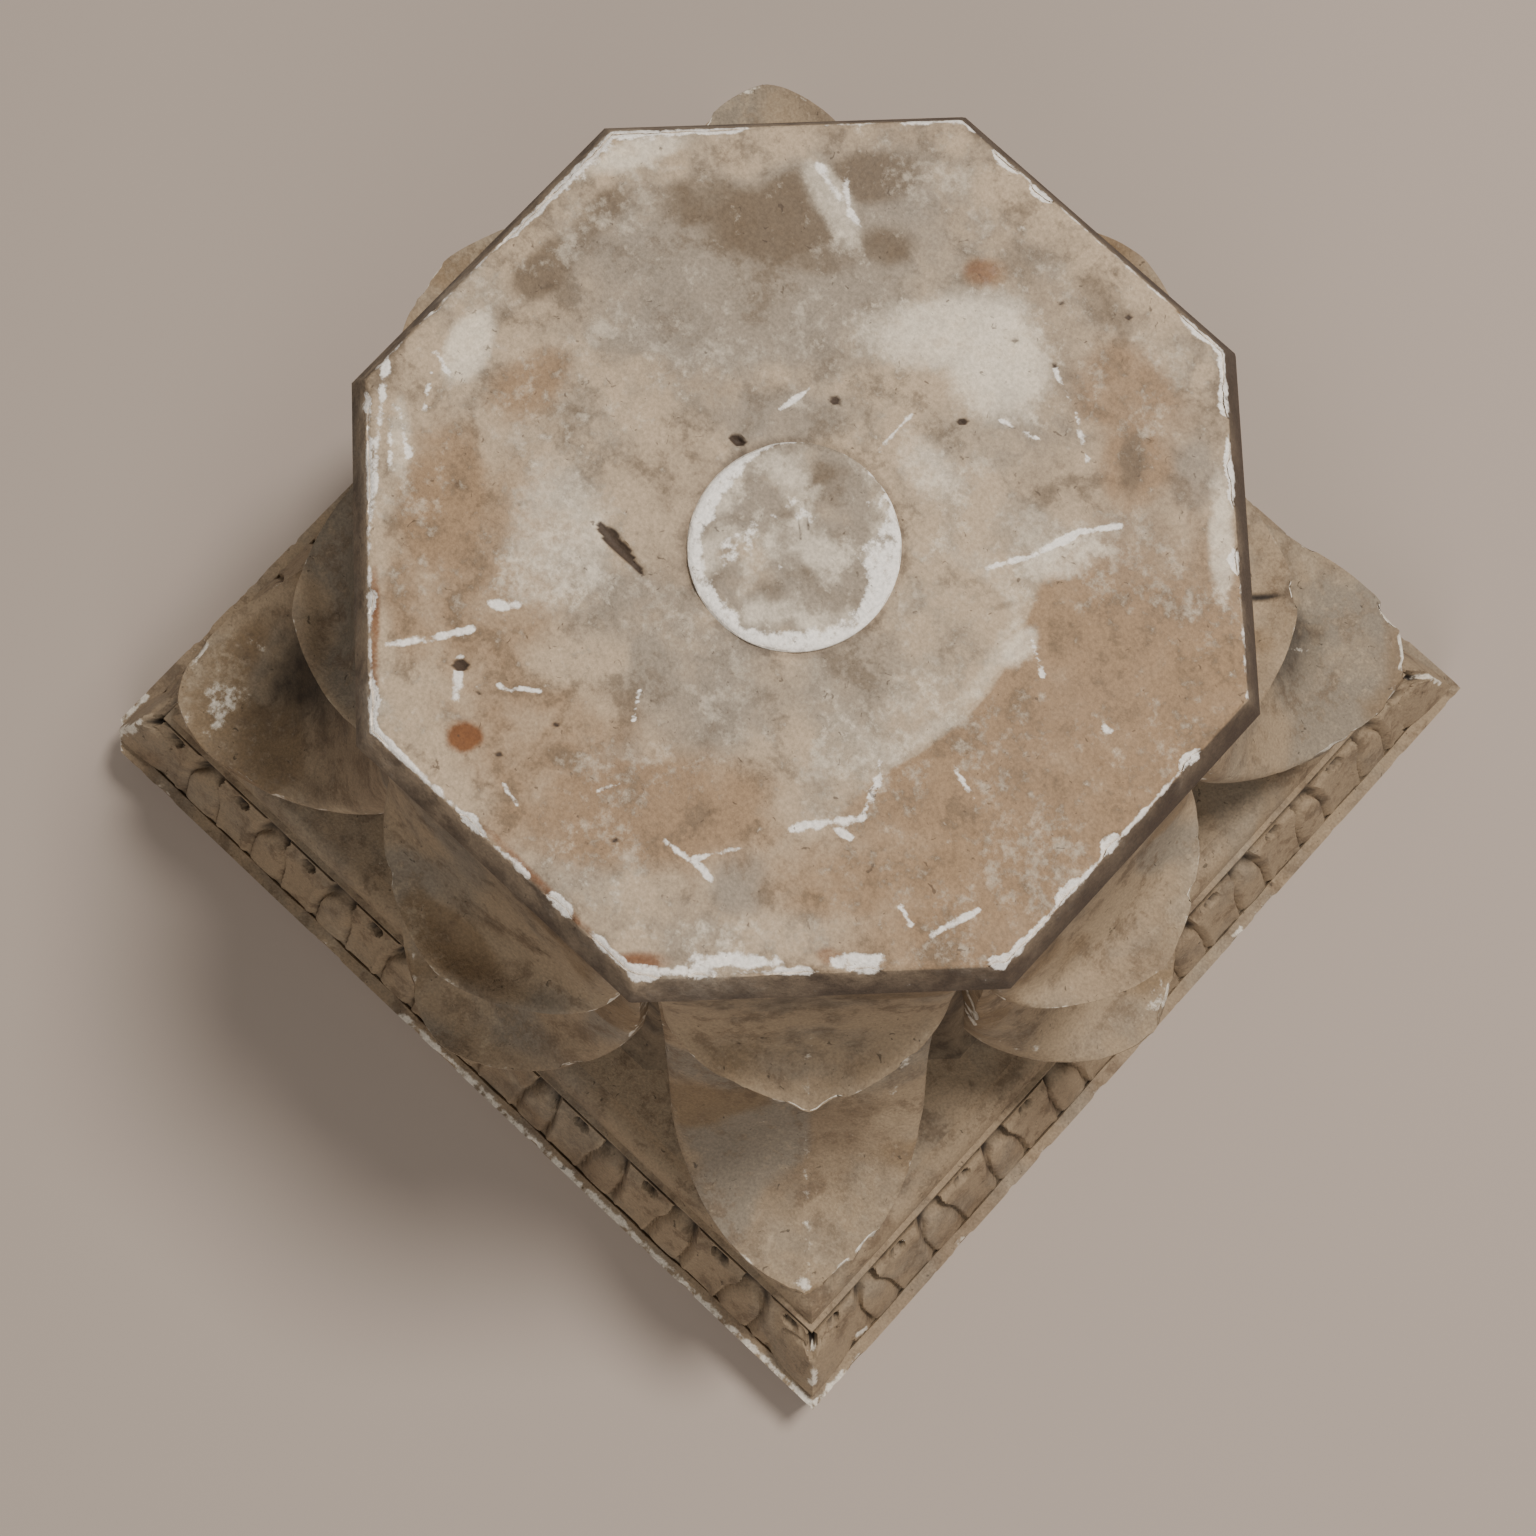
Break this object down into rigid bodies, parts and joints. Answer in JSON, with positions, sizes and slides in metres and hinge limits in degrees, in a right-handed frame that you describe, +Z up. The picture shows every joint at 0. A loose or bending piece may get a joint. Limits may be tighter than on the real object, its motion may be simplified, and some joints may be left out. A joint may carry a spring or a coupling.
{
  "type": "plaster capital",
  "caption": "Old plaster cast of a square-topped column capital with two tiers of plain broad leaves, standing upside down on its abacus with the octagonal neck bed up.",
  "frame": {"origin": "middle of the square abacus bed, which is the face that the capital stands on here", "axes": "+Z up from the abacus bed to the neck bed; X and Y square to the sides of the abacus; in the picture the corner towards the viewer is at +X, -Y"},
  "size_m": [0.42, 0.42, 0.3485],
  "materials": {
    "plaster": "matte"
  },
  "bodies": {
    "root": {"plaster_capital": "plaster"}
  },
  "joints": []
}
